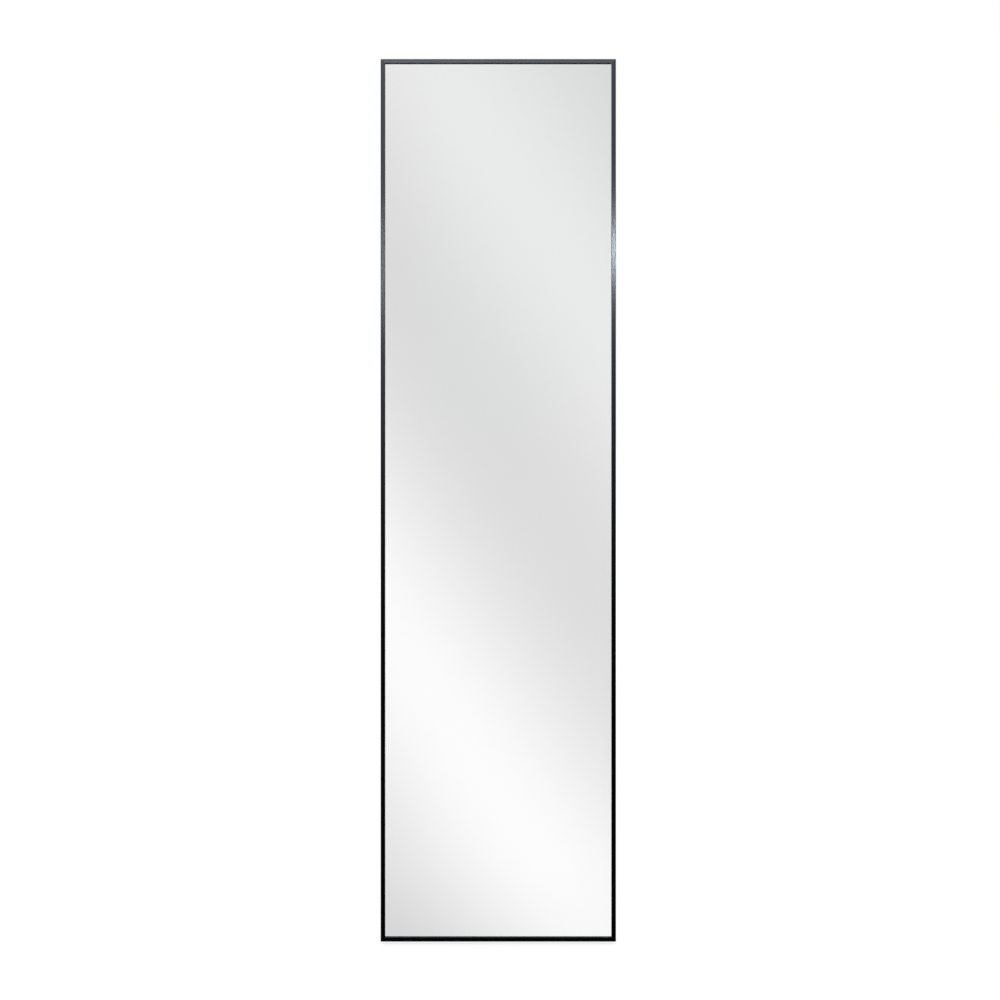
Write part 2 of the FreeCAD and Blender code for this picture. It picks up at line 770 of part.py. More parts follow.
def make_stand_eye(side):
    """The plug in one end of the tube: spigot, collar, neck and the eye on the pivot pin."""
    body = new_body(f"stand_eye_{side}")
    middle = outward(side, LEG)
    barrel = new_sketch(body, "barrel_circle", "x", middle)
    draw_circle(barrel, ("0", "0"), "dims.eye_radius")
    add_pad(body, "barrel", barrel, "dims.eye_width")

    collar_top = "(dims.collar_height - dims.tube_start)"
    neck = new_sketch(body, "neck_shape", "y")
    half = "dims.neck_width / 2"
    low = (f"({middle} - {half})", collar_top)
    high = (f"({middle} + {half})", "0")
    draw_rectangle(neck, low, high)
    add_pad(body, "neck", neck, "dims.neck_thickness")

    collar = new_sketch(body, "collar_shape", "z", "(-dims.tube_start)")
    draw_square(collar, (middle, "0"), "dims.tube_size", "dims.tube_corner")
    add_pad(body, "collar", collar, "dims.collar_height", "up")
    spigot = new_sketch(body, "spigot_shape", "z", "(-dims.tube_start)")
    draw_square(spigot, (middle, "0"), f"({TUBE_INSIDE} - 2 * dims.spigot_play)")
    add_pad(body, "spigot", spigot, "dims.spigot_length", "down")

    bore = new_sketch(body, "bore_circle", "x", middle)
    draw_circle(bore, ("0", "0"), PIN_HOLE)
    add_pocket(body, "bore", bore, "(2 * dims.eye_width)")
    hole = new_sketch(body, "pin_hole", "y")
    draw_shank(hole, (middle, "(-dims.eye_pin_drop)"), EYE_PIN_HOLE)
    add_pocket(body, "pin_drilled", hole, ACROSS_TUBE)
    hang_from_pivot(body)


def make_eye_pins():
    """The cross pins that hold the eyes in the tube."""
    body = new_template("eye_pin")
    sketch = new_sketch(body, "circle", "y")
    draw_circle(sketch, ("0", "(-dims.eye_pin_drop)"), "dims.eye_pin_radius")
    add_pad(body, "pin", sketch, "(dims.tube_size + 2 * dims.eye_pin_stand_off)")
    places = [((outward(side, LEG), "0", "0"), 0) for side in SIDES]
    hang_from_pivot(make_group("stand_eye_pins", body, places))


def make_stand_sleeve(side):
    """A rubber sleeve round the cross part, cut level with the floor under the open stand."""
    body = new_body(f"stand_sleeve_{side}")
    middle = outward(side, "dims.sleeve_place")

    def underside(depth):
        return f"(-{LEG_LENGTH} - ({SLEEVE_HALF} + {depth} * sin({STAND_TILT})) / cos({STAND_TILT}))"

    front = f"(-{SLEEVE_HALF})"
    crown = f"({SLEEVE_HALF} - {LEG_LENGTH})"
    outside = new_sketch(body, "outside", "x", middle)
    outline = [
        (front, underside(front)),
        (SLEEVE_HALF, underside(SLEEVE_HALF)),
        (SLEEVE_HALF, crown),
        (front, crown),
    ]
    draw_outline(outside, outline)
    rubber = add_pad(body, "rubber", outside, "dims.sleeve_length")
    round_off(rubber, edges_along(rubber, "x", outline), "dims.sleeve_rounding")
    inside = new_sketch(body, "inside", "x", middle)
    draw_square(inside, ("0", f"(-{LEG_LENGTH})"), "dims.tube_size", "dims.tube_corner")
    add_pocket(body, "bore", inside, "(2 * dims.sleeve_length)")
    hang_from_pivot(body)


# The hangers: a strap screwed to each stile, and a ring that swings in its loop.


def make_hanger_strap(side):
    """The strap: a plate whose upper end is rolled into a loop."""
    body = new_body(f"hanger_strap_{side}")
    middle = outward(side, RING_PLACE)
    half = "dims.strap_width / 2"
    foot = "(dims.ring_height - dims.strap_length)"
    plate = new_sketch(body, "plate_shape", "y", BACK)
    low = (f"({middle} - {half})", foot)
    high = (f"({middle} + {half})", "(dims.ring_height - dims.strap_lap)")
    draw_rectangle(plate, low, high)
    strip = add_pad(body, "plate", plate, "dims.strap_sheet", "up")
    corners = [(low[0], foot), (high[0], foot)]
    round_off(strip, edges_along(strip, "y", corners), "dims.strap_corner")
    loop = new_sketch(body, "loop_circles", "x", middle)
    draw_circle(loop, (RING_DEPTH, "dims.ring_height"), LOOP_OUTSIDE)
    draw_circle(loop, (RING_DEPTH, "dims.ring_height"), LOOP_RADIUS)
    add_pad(body, "loop", loop, "dims.strap_width")
    screws = new_sketch(body, "screws", "y", BACK)
    for height in strap_screw_heights():
        draw_shank(screws, (middle, height), SCREW_HOLE)
    add_pocket(body, "screw_holes", screws, "(4 * dims.strap_sheet)")
    lean(body)


def make_hanging_ring(side):
    """The ring: a pressed D that hangs from its straight bar."""
    body = new_body(f"hanging_ring_{side}")
    half_bar = "dims.ring_bar / 2"
    bow = ("0", "(-dims.ring_side)")
    plate = new_sketch(body, "plate", "y")
    low = ("(-dims.ring_radius)", bow[1])
    high = ("dims.ring_radius", f"({half_bar})")
    draw_rectangle(plate, low, high)
    sheet = add_pad(body, "upper_part", plate, "dims.ring_bar")
    corners = [(low[0], high[1]), high]
    round_off(sheet, edges_along(sheet, "y", corners), "dims.ring_corner")
    disc = new_sketch(body, "disc", "y")
    draw_circle(disc, bow, "dims.ring_radius")
    add_pad(body, "bow", disc, "dims.ring_bar")

    window = new_sketch(body, "window", "y")
    reach = "(dims.ring_radius - dims.ring_bar)"
    draw_rectangle(window, (f"(-{reach})", bow[1]), (reach, f"(-{half_bar})"))
    add_pocket(body, "window_cut", window, "(2 * dims.ring_bar)")
    inner_disc = new_sketch(body, "inner_disc", "y")
    draw_circle(inner_disc, bow, reach)
    add_pocket(body, "bow_cut", inner_disc, "(2 * dims.ring_bar)")
    place = (
        outward(side, RING_PLACE),
        leaned_y(RING_DEPTH, "dims.ring_height"),
        leaned_z(RING_DEPTH, "dims.ring_height"),
    )
    set_placement(body, "0", place)


# Rubber: wedges under the bottom rail, cut level with the floor, and bumpers on the back.


def make_foot_pad(side):
    """A wedge that fills the space between the leaning rail and the floor."""
    body = new_body(f"foot_pad_{side}")

    def reach(depth):
        return f"((dims.front_lift - {depth} * sin({LEAN})) / cos({LEAN}))"

    sketch = new_sketch(body, "wedge_shape", "x", outward(side, "dims.pad_place"))
    outline = [
        ("dims.pad_front", "0"),
        ("dims.pad_back", "0"),
        ("dims.pad_back", f"(-{reach('dims.pad_back')})"),
        ("dims.pad_front", f"(-{reach('dims.pad_front')})"),
    ]
    draw_outline(sketch, outline)
    wedge = add_pad(body, "wedge", sketch, "dims.pad_length")
    corners = []
    for place in ("dims.pad_front", "dims.pad_back"):
        for sign in ("-", "+"):
            end = f"({outward(side, 'dims.pad_place')} {sign} dims.pad_length / 2)"
            corners.append((end, place))
    chamfer_off(wedge, edges_along(wedge, "z", corners), "dims.pad_chamfer")
    lean(body)


def make_wall_bumpers():
    """Four bumpers that keep the corners of the back off a wall."""
    body = new_template("bumper")
    sketch = new_sketch(body, "circle", "y", BACK)
    draw_circle(sketch, ("0", "0"), "dims.bumper_radius")
    add_pad(body, "disc", sketch, "dims.bumper_height", "up")
    inset = "dims.bumper_inset"
    places = []
    for side in SIDES:
        for end in ENDS:
            places.append(((across(side, inset), "0", along(end, inset)), 0))
    lean(make_group("wall_bumpers", body, places))


for side in SIDES:
    make_stile(side)
for end in ENDS:
    make_rail(end)
    for side in SIDES:
        make_corner_key(side, end)
make_screw_groups(make_screw())
make_glass()
make_pane("safety_film", FILM_FRONT, "dims.film_thickness")
make_pane("foam_sheet", FOAM_FRONT, "dims.foam_thickness")
make_pane("backing_board", BOARD_FRONT, "dims.board_thickness")
make_setting_blocks()
make_pivot_washers()
make_stand_tube()
make_eye_pins()
for side in SIDES:
    make_hinge_bracket(side)
    make_pivot_pin(side)
    make_stand_eye(side)
    make_stand_sleeve(side)
    make_hanger_strap(side)
    make_hanging_ring(side)
    make_foot_pad(side)
make_wall_bumpers()

doc.recompute()
for thing in doc.Objects:
    if "Invalid" in thing.State or "Error" in thing.State:
        raise RuntimeError(f"{thing.Label} did not build: {thing.State}")
for node in nodes:
    if node.Shape.isNull() or not node.Shape.isValid():
        raise RuntimeError(f"{node.Label} has no valid shape")

os.makedirs("parts", exist_ok=True)
for node in nodes:
    node.Shape.exportStep(f"parts/{node.Label}.step")
    print(f"{node.Label:24s} solids {len(node.Shape.Solids)}  mm3 {node.Shape.Volume:12.1f}")
print(f"leg {number(LEG_LENGTH):.2f} mm, stop {number(WEB_DROP):.2f} mm below the pivot")
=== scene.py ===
"""The looks of a slim black floor mirror that leans back on its stand, seen square on."""

import math

import bmesh
import bpy
from mathutils import Matrix, Vector


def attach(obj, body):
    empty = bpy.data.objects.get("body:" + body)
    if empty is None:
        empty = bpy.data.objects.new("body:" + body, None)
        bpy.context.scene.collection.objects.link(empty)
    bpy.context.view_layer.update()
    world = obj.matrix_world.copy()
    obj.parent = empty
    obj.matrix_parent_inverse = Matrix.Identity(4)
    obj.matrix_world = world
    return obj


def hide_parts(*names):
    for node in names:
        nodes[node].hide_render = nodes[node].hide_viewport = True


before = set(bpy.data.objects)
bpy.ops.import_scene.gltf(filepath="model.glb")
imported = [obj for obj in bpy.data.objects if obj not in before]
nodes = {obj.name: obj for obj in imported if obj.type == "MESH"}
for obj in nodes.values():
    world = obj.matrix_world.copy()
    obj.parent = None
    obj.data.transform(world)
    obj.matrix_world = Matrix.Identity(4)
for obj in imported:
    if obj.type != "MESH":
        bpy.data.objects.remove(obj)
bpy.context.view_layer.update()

MM = 0.001
SIDES = (("left", -1), ("right", 1))

# The mirror is built upright and then leaned back about the lower front edge of its frame, which
# its pads lift off the floor.
WIDTH = 400 * MM
HEIGHT = 1500 * MM
DEPTH = 26 * MM
FACE_WIDTH = 7.5 * MM
LEAN = math.radians(12)
PAD_LIFT = 6 * MM
FRONT_EDGE = Vector((0, -(DEPTH * math.cos(LEAN) + HEIGHT * math.sin(LEAN)) / 2, PAD_LIFT))
LEANED = Matrix.Translation(FRONT_EDGE) @ Matrix.Rotation(-LEAN, 4, "X")
FACING = Vector((0, -math.cos(LEAN), math.sin(LEAN)))
UPWARD = Vector((0, math.sin(LEAN), math.cos(LEAN)))

# The pane: its depths behind the face of the frame, and its inset from the frame's outside.
GLASS_FRONT = 1.6 * MM
GLASS_BACK = 5.6 * MM
GLASS_INSET = 2.6 * MM

# The stand hangs from its pivot, opened by its own angle. The sleeves carry it on the floor.
PIVOT_DEPTH = 18.75 * MM
PIVOT_HEIGHT = 1000 * MM
STAND_ANGLE = math.radians(5)
PIVOT = LEANED @ Vector((0, PIVOT_DEPTH, PIVOT_HEIGHT))
OPENED = Matrix.Translation(PIVOT) @ Matrix.Rotation(STAND_ANGLE, 4, "X")
TUBE_HALF = 5 * MM
SLEEVE_HALF = 6.5 * MM
LEG_PLACE = 178 * MM
LEG_LENGTH = (PIVOT.z - SLEEVE_HALF) / math.cos(STAND_ANGLE)


# Node graphs. An input is named, or given by its number; a socket as its value is linked.


def add(tree, kind, inputs, **settings):
    """A node with its settings and inputs."""
    made = tree.nodes.new(kind)
    for name, value in settings.items():
        setattr(made, name, value)
    for name, value in inputs.items():
        socket = made.inputs[name]
        if isinstance(value, bpy.types.NodeSocket):
            tree.links.new(value, socket)
        else:
            socket.default_value = value
    return made


def calc(tree, operation, *values, clamp=False):
    """The result of a sum on numbers."""
    inputs = dict(enumerate(values))
    made = add(tree, "ShaderNodeMath", inputs, operation=operation, use_clamp=clamp)
    return made.outputs[0]


def span(tree, value, low, high, to_low=0.0, to_high=1.0):
    """A value moved smoothly from one range into another, and held at its ends."""
    inputs = {"Value": value, "From Min": low, "From Max": high}
    inputs.update({"To Min": to_low, "To Max": to_high})
    made = add(tree, "ShaderNodeMapRange", inputs, interpolation_type="SMOOTHSTEP")
    return made.outputs[0]


def noise(tree, place, scale, detail=3.0, roughness=0.55):
    """Fractal noise from 0 to 1 at a place; scale is in waves per metre."""
    inputs = {"Vector": place, "Scale": scale, "Detail": detail, "Roughness": roughness}
    return add(tree, "ShaderNodeTexNoise", inputs).outputs[0]


def stretched(tree, place, scale):
    """A place with its three axes scaled."""
    inputs = {0: place, 1: scale}
    return add(tree, "ShaderNodeVectorMath", inputs, operation="MULTIPLY").outputs[0]


def blended(tree, share, first, second):
    """A colour between two colours."""
    inputs = {"Factor": share, 6: first, 7: second}
    made = add(tree, "ShaderNodeMix", inputs, data_type="RGBA")
    return made.outputs[2]


def colour(red, green, blue):
    """A linear colour."""
    return (red, green, blue, 1.0)


def new_material(name):
    """A material with an empty graph; returns it, its graph and the place on the object."""
    material = bpy.data.materials.new(name)
    material.use_nodes = True
    tree = material.node_tree
    tree.nodes.clear()
    place = tree.nodes.new("ShaderNodeTexCoord").outputs["Object"]
    return material, tree, place


def surface(tree, **inputs):
    """The principled shader on a material's surface."""
    named = {name.replace("_", " "): value for name, value in inputs.items()}
    shader = add(tree, "ShaderNodeBsdfPrincipled", named)
    add(tree, "ShaderNodeOutputMaterial", {"Surface": shader.outputs[0]})


def bump(tree, height, depth, strength=1.0):
    """A normal from a height that runs from 0 to 1, over a depth in metres."""
    inputs = {"Height": height, "Distance": depth, "Strength": strength}
    return add(tree, "ShaderNodeBump", inputs).outputs[0]


def upright(tree, place):
    """A place on the mirror as it is before it leans: across, through its depth, and up."""
    inputs = {0: place, 1: tuple(FRONT_EDGE)}
    moved = add(tree, "ShaderNodeVectorMath", inputs, operation="SUBTRACT").outputs[0]
    inputs = {"Vector": moved, "Angle": LEAN}
    return add(tree, "ShaderNodeVectorRotate", inputs, rotation_type="X_AXIS").outputs[0]


def parts_of(tree, place):
    """The three numbers of a place."""
    return add(tree, "ShaderNodeSeparateXYZ", {0: place}).outputs


# Materials. Each pair holds the two places between which a look fades in or out.

WEAR_REACH = (0.15 * MM, 0.75 * MM)
MITRE_JOINT = (0.05 * MM, 0.16 * MM)
LIP_EDGE = (FACE_WIDTH - 2 * MM, FACE_WIDTH - 1.5 * MM)
LIP_FRONT = (0.1 * MM, 0.4 * MM)
LIP_BACK = (2.0 * MM, 2.6 * MM)
PANE_EDGE = (GLASS_INSET, 14 * MM)

# Along the profile, the noise of the drawing lines is drawn out to this share of its scale.
DRAWN = 0.012

# The print of the screen on the back of the hardboard repeats at this pitch.
SCREEN_PITCH = 1.4 * MM


def frame_black(name, along):
    """Satin black coat on drawn aluminium, with faint drawing lines along the profile."""
    material, tree, place = new_material(name)
    flat = upright(tree, place)
    x, depth, height = parts_of(tree, flat)
    squeeze = (1, 1, DRAWN) if along == "height" else (DRAWN, 1, 1)
    lines = noise(tree, stretched(tree, flat, squeeze), 2600, 2.0)
    grain = noise(tree, place, 5200, 2.0)
    clouds = noise(tree, place, 14, 3.0)
    marks = span(tree, noise(tree, place, 90, 4.0), 0.66, 0.8)

    # Wear on the outer edges, where hands and walls meet them.
    side = calc(tree, "SUBTRACT", WIDTH / 2, calc(tree, "ABSOLUTE", x))
    middle = calc(tree, "SUBTRACT", height, HEIGHT / 2)
    end = calc(tree, "SUBTRACT", HEIGHT / 2, calc(tree, "ABSOLUTE", middle))
    outer = calc(tree, "MINIMUM", side, end)
    front = calc(tree, "ABSOLUTE", depth)
    edge = calc(tree, "ADD", outer, front)
    worn = span(tree, edge, *WEAR_REACH, 1.0, 0.0)
    worn = calc(tree, "MULTIPLY", worn, span(tree, clouds, 0.52, 0.68))

    # The lines spread the gloss across them, on the face and on the sides.
    spread = (Vector((1, 0, 0)) if along == "height" else UPWARD) + 0.05 * FACING

    # The joint of each mitre is a hair line.
    off_mitre = calc(tree, "ABSOLUTE", calc(tree, "SUBTRACT", side, end))
    seam = span(tree, off_mitre, *MITRE_JOINT, 1.0, 0.0)

    black = blended(tree, clouds, colour(0.0006, 0.0006, 0.0008), colour(0.0011, 0.0011, 0.0014))
    black = blended(tree, calc(tree, "MULTIPLY", worn, 0.5), black, colour(0.05, 0.05, 0.053))
    black = blended(tree, seam, black, colour(0.0003, 0.0003, 0.0003))
    dull = calc(tree, "MULTIPLY_ADD", lines, 0.04, 0.13)
    dull = calc(tree, "MULTIPLY_ADD", marks, 0.06, dull)
    dull = calc(tree, "MULTIPLY_ADD", seam, 0.5, dull)

    # Painted shade: the lip's specular is turned off where it meets the glass, on its inner edge
    # and on its back, to darken that shaded recess.
    lip_painted_shade = span(tree, outer, *LIP_EDGE)
    lip_painted_shade = calc(tree, "MULTIPLY", lip_painted_shade, span(tree, depth, *LIP_FRONT))
    lip_painted_shade = calc(tree, "MULTIPLY", lip_painted_shade, span(tree, depth, *LIP_BACK, 1.0, 0.0))
    rough = calc(tree, "MULTIPLY_ADD", grain, 0.35, calc(tree, "MULTIPLY", lines, 0.65))
    relief = calc(tree, "MULTIPLY_ADD", seam, -6.0, rough)
    surface(
        tree,
        Base_Color=black,
        Roughness=dull,
        IOR=1.7,
        # Specular level 0.5, falling to none on the lip's painted shade beside the glass.
        Specular_IOR_Level=calc(tree, "MULTIPLY_ADD", lip_painted_shade, -0.5, 0.5),
        Specular_Tint=colour(0.84, 0.92, 1.0),
        Anisotropic=0.5,
        Tangent=add(tree, "ShaderNodeCombineXYZ", dict(enumerate(spread))).outputs[0],
        Normal=bump(tree, relief, 0.0009 * MM),
    )
    return material


def powder_black(name):
    """Black powder coat on steel, with its fine pebbled skin."""
    material, tree, place = new_material(name)
    pebbles = noise(tree, place, 2400, 2.0, 0.5)
    waves = noise(tree, place, 160, 2.0)
    clouds = noise(tree, place, 26, 3.0)
    scuffs = noise(tree, stretched(tree, place, (1, 1, 0.15)), 240, 5.0, 0.7)
    scuffed = span(tree, scuffs, 0.66, 0.78)
    black = blended(tree, clouds, colour(0.005, 0.0052, 0.006), colour(0.011, 0.0112, 0.0125))
    black = blended(tree, calc(tree, "MULTIPLY", scuffed, 0.35), black, colour(0.07, 0.07, 0.073))
    dull = calc(tree, "MULTIPLY_ADD", pebbles, 0.1, 0.3)
    dull = calc(tree, "MULTIPLY_ADD", scuffed, 0.15, dull)
    relief = calc(tree, "MULTIPLY_ADD", waves, 1.5, pebbles)
    surface(tree, Base_Color=black, Roughness=dull, Normal=bump(tree, relief, 0.012 * MM))
    return material


def plated_steel(name, tone=colour(0.40, 0.42, 0.44), dull_from=0.2):
    """Zinc-plated steel: grey, a little cloudy, finely brushed."""
    material, tree, place = new_material(name)
    spangle = add(tree, "ShaderNodeTexVoronoi", {"Vector": place, "Scale": 520.0}).outputs["Color"]
    cells = parts_of(tree, spangle)[0]
    clouds = noise(tree, place, 150, 3.0)
    scratches = noise(tree, stretched(tree, place, (1, 1, 0.03)), 3800, 2.0)
    red, green, blue = tone[:3]
    dark = colour(0.62 * red, 0.62 * green, 0.62 * blue)
    yellow = colour(1.12 * red, 1.02 * green, 0.78 * blue)
    warm = blended(tree, calc(tree, "MULTIPLY", cells, 0.8), tone, yellow)
    steel = blended(tree, span(tree, clouds, 0.35, 0.7), warm, dark)
    dull = calc(tree, "MULTIPLY_ADD", clouds, 0.22, dull_from)
    surface(
        tree,
        Base_Color=steel,
        Metallic=1.0,
        Roughness=calc(tree, "MULTIPLY_ADD", scratches, 0.08, dull),
        Normal=bump(tree, scratches, 0.004 * MM),
    )
    return material


def cast_metal(name):
    """The raw grey skin of a small die casting."""
    material, tree, place = new_material(name)
    pits = noise(tree, place, 1300, 4.0, 0.65)
    clouds = noise(tree, place, 90, 3.0)
    grey = blended(tree, clouds, colour(0.33, 0.335, 0.34), colour(0.5, 0.505, 0.51))
    dull = calc(tree, "MULTIPLY_ADD", pits, 0.25, 0.4)
    normal = bump(tree, pits, 0.06 * MM)
    surface(tree, Base_Color=grey, Metallic=1.0, Roughness=dull, Normal=normal)
    return material


def matt_rubber(name, light=0.012):
    """Moulded rubber with a fine dusty skin."""
    material, tree, place = new_material(name)
    skin = noise(tree, place, 2100, 3.0, 0.6)
    dust = noise(tree, place, 120, 4.0)
    darker = colour(light * 0.7, light * 0.7, light * 0.72)
    dusty = colour(light * 2.6, light * 2.6, light * 2.5)
    black = blended(tree, span(tree, dust, 0.45, 0.8), darker, dusty)
    dull = calc(tree, "MULTIPLY_ADD", dust, 0.2, 0.62)
    surface(tree, Base_Color=black, Roughness=dull, Normal=bump(tree, skin, 0.03 * MM))
    return material


def hardboard(name):
    """Brown hardboard: pressed fibres, with the print of the screen that it was pressed on."""
    material, tree, place = new_material(name)
    flat = upright(tree, place)
    x, _, height = parts_of(tree, flat)
    fibres = noise(tree, stretched(tree, flat, (1, 1, 0.35)), 420, 6.0, 0.72)
    flecks = noise(tree, stretched(tree, flat, (0.3, 1, 1)), 950, 3.0, 0.6)
    clouds = noise(tree, flat, 7, 4.0)
    waves = 2 * math.pi / SCREEN_PITCH
    across = calc(tree, "SINE", calc(tree, "MULTIPLY", x, waves))
    up = calc(tree, "SINE", calc(tree, "MULTIPLY", height, waves))
    weave = calc(tree, "MULTIPLY", across, up)
    fibre = span(tree, fibres, 0.3, 0.72)
    brown = blended(tree, fibre, colour(0.075, 0.036, 0.016), colour(0.17, 0.089, 0.042))
    fleck = calc(tree, "MULTIPLY", span(tree, flecks, 0.62, 0.74), 0.55)
    brown = blended(tree, fleck, brown, colour(0.29, 0.175, 0.095))
    stain = span(tree, clouds, 0.4, 0.75, 0.0, 0.35)
    brown = blended(tree, stain, brown, colour(0.06, 0.03, 0.015))
    relief = calc(tree, "MULTIPLY_ADD", weave, 0.35, fibres)
    dull = calc(tree, "MULTIPLY_ADD", fibres, 0.2, 0.5)
    surface(tree, Base_Color=brown, Roughness=dull, Normal=bump(tree, relief, 0.1 * MM))
    return material


def clear_glass(name):
    """Float glass: clear, faintly green, with a trace of dust that only dulls it."""
    material, tree, place = new_material(name)
    dust = span(tree, noise(tree, place, 260, 5.0, 0.7), 0.62, 0.86, 0.0, 0.012)
    surface(
        tree,
        Base_Color=colour(0.992, 0.993, 0.99),
        Roughness=dust,
        IOR=1.5,
        Transmission_Weight=1.0,
    )
    return material


def silvering(name):
    """The silver on the back of the glass, a little dimmer towards the pane's sides."""
    material, tree, place = new_material(name)
    x = parts_of(tree, place)[0]
    haze = noise(tree, place, 11, 4.0, 0.6)
    side = calc(tree, "SUBTRACT", WIDTH / 2, calc(tree, "ABSOLUTE", x))
    near_edge = span(tree, side, *PANE_EDGE, 0.35, 0.0)
    dim = calc(tree, "MULTIPLY_ADD", span(tree, haze, 0.3, 0.75), 0.25, near_edge)
    silver = blended(tree, dim, colour(0.965, 0.967, 0.965), colour(0.945, 0.95, 0.952))
    surface(tree, Base_Color=silver, Metallic=1.0, Roughness=0.0)
    return material


def soft_sheet(name, tone, cells, depth):
    """A thin film or foam sheet with small cells."""
    material, tree, place = new_material(name)
    inputs = {"Vector": place, "Scale": cells}
    bubbles = add(tree, "ShaderNodeTexVoronoi", inputs).outputs["Distance"]
    clouds = noise(tree, place, 30, 3.0)
    darker = tuple(0.8 * channel for channel in tone[:3]) + (1.0,)
    shade = blended(tree, clouds, tone, darker)
    dull = calc(tree, "MULTIPLY_ADD", bubbles, 0.3, 0.5)
    surface(tree, Base_Color=shade, Roughness=dull, Normal=bump(tree, bubbles, depth))
    return material


def nylon(name):
    """Natural nylon, slightly waxy."""
    material, tree, place = new_material(name)
    clouds = noise(tree, place, 300, 3.0)
    skin = noise(tree, place, 1900, 2.0)
    tone = blended(tree, clouds, colour(0.66, 0.64, 0.57), colour(0.74, 0.72, 0.66))
    dull = calc(tree, "MULTIPLY_ADD", clouds, 0.15, 0.35)
    surface(tree, Base_Color=tone, Roughness=dull, Normal=bump(tree, skin, 0.01 * MM))
    return material


upright_black = frame_black("frame_black_upright", "height")
level_black = frame_black("frame_black_level", "width")
black_powder = powder_black("powder_black")
plated = plated_steel("plated_steel")
zinc = plated_steel("zinc_screw_plating", colour(0.46, 0.47, 0.48), 0.18)
black_screw = plated_steel("blackened_screw", colour(0.022, 0.022, 0.025), 0.3)
casting = cast_metal("cast_key_metal")
rubber = matt_rubber("black_rubber")
bumper_rubber = matt_rubber("bumper_rubber", 0.02)
block_rubber = matt_rubber("block_rubber", 0.03)
board = hardboard("brown_hardboard")
glass = clear_glass("float_glass")
silver = silvering("silver_backing")
film = soft_sheet("safety_film", colour(0.30, 0.32, 0.33), 900.0, 0.01 * MM)
foam = soft_sheet("white_foam", colour(0.80, 0.80, 0.77), 1400.0, 0.2 * MM)
washer_nylon = nylon("natural_nylon")

NODE_MATERIALS = {
    "top_rail": level_black,
    "bottom_rail": level_black,
    "corner_screws": black_screw,
    "hinge_screws": black_screw,
    "hanger_screws": zinc,
    "mirror_glass": glass,
    "safety_film": film,
    "foam_sheet": foam,
    "backing_board": board,
    "setting_blocks": block_rubber,
    "pivot_washers": washer_nylon,
    "stand_tube": black_powder,
    "stand_eye_pins": plated,
    "wall_bumpers": bumper_rubber,
}
for side, _ in SIDES:
    NODE_MATERIALS[f"{side}_stile"] = upright_black
    NODE_MATERIALS[f"hinge_bracket_{side}"] = black_powder
    NODE_MATERIALS[f"pivot_pin_{side}"] = plated
    NODE_MATERIALS[f"stand_eye_{side}"] = plated
    NODE_MATERIALS[f"stand_sleeve_{side}"] = rubber
    NODE_MATERIALS[f"hanger_strap_{side}"] = plated
    NODE_MATERIALS[f"hanging_ring_{side}"] = plated
    NODE_MATERIALS[f"foot_pad_{side}"] = rubber
    for end in ("bottom", "top"):
        NODE_MATERIALS[f"corner_key_{end}_{side}"] = casting

for name, node in nodes.items():
    node.data.materials.clear()
    node.data.materials.append(NODE_MATERIALS[name])


# Pieces.

SHARP_FROM = math.radians(32)


def new_piece(name, mesh, material, body, place=LEANED):
    """A piece from a mesh drawn on the upright mirror, leaned back with it or placed otherwise."""
    data = bpy.data.meshes.new(name)
    bmesh.ops.recalc_face_normals(mesh, faces=mesh.faces)
    mesh.transform(place)
    mesh.to_mesh(data)
    mesh.free()
    data.shade_smooth()
    data.set_sharp_from_angle(angle=SHARP_FROM)
    piece = bpy.data.objects.new(name, data)
    bpy.context.scene.collection.objects.link(piece)
    data.materials.append(material)
    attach(piece, body)
    return piece


def join_rings(mesh, rings, closed=False):
    """Faces between rings of vertices that follow each other; open ends get a flat face."""
    following = rings[1:] + rings[:1] if closed else rings[1:]
    for ring, after in zip(rings, following):
        for count in range(len(ring)):
            other = (count + 1) % len(ring)
            mesh.faces.new((ring[count], ring[other], after[other], after[count]))
    if not closed:
        mesh.faces.new(reversed(rings[0]))
        mesh.faces.new(rings[-1])


AROUND = 36
HALF_FLAT = math.pi / 6


def turn_up(mesh, outline, foot, way):
    """A turned form from (radius, height) pairs in millimetres, on a foot and along a way.

    A negative radius stands for the corners of a hexagon instead of a circle.
    """
    aim = Vector((0, 0, 1)).rotation_difference(Vector(way)).to_matrix().to_4x4()
    place = Matrix.Translation(Vector(foot)) @ aim
    rings = []
    for radius, height in outline:
        ring = []
        for count in range(AROUND):
            turn = 2 * math.pi * count / AROUND
            reach = radius
            if radius < 0:
                off_middle = (turn + HALF_FLAT) % (2 * HALF_FLAT) - HALF_FLAT
                reach = -radius * math.cos(HALF_FLAT) / math.cos(off_middle)
            spot = Vector((reach * math.cos(turn), reach * math.sin(turn), height)) * MM
            ring.append(mesh.verts.new(place @ spot))
        rings.append(ring)
    join_rings(mesh, rings)


# Outlines, each from its hidden end to the crown that shows; a stand rivet shows at both ends.
SCREW = (
    (1.4, -8.0), (1.75, -7.6), (1.75, 0.0), (3.45, 0.0), (3.6, 0.15), (3.6, 0.55), (3.5, 0.9),
    (3.22, 1.28), (2.8, 1.6), (2.3, 1.83), (1.9, 1.94), (1.72, 1.9), (-1.62, 1.72), (-1.55, 0.8),
    (0.25, 0.55),
)
PIVOT_RIVET = (
    (2.6, -16.0), (3.0, -15.6), (3.0, 0.0), (4.85, 0.0), (5.0, 0.15), (5.0, 0.5), (4.86, 0.95),
    (4.45, 1.35), (3.75, 1.68), (2.8, 1.87), (1.6, 1.97), (0.7, 2.0),
)
STAND_RIVET = (
    (0.5, -5.95), (1.3, -5.85), (1.95, -5.55), (2.25, -5.15), (2.25, -5.0), (1.45, -5.0),
    (1.45, 5.0), (2.25, 5.0), (2.25, 5.15), (1.95, 5.55), (1.3, 5.85), (0.5, 5.95),
)
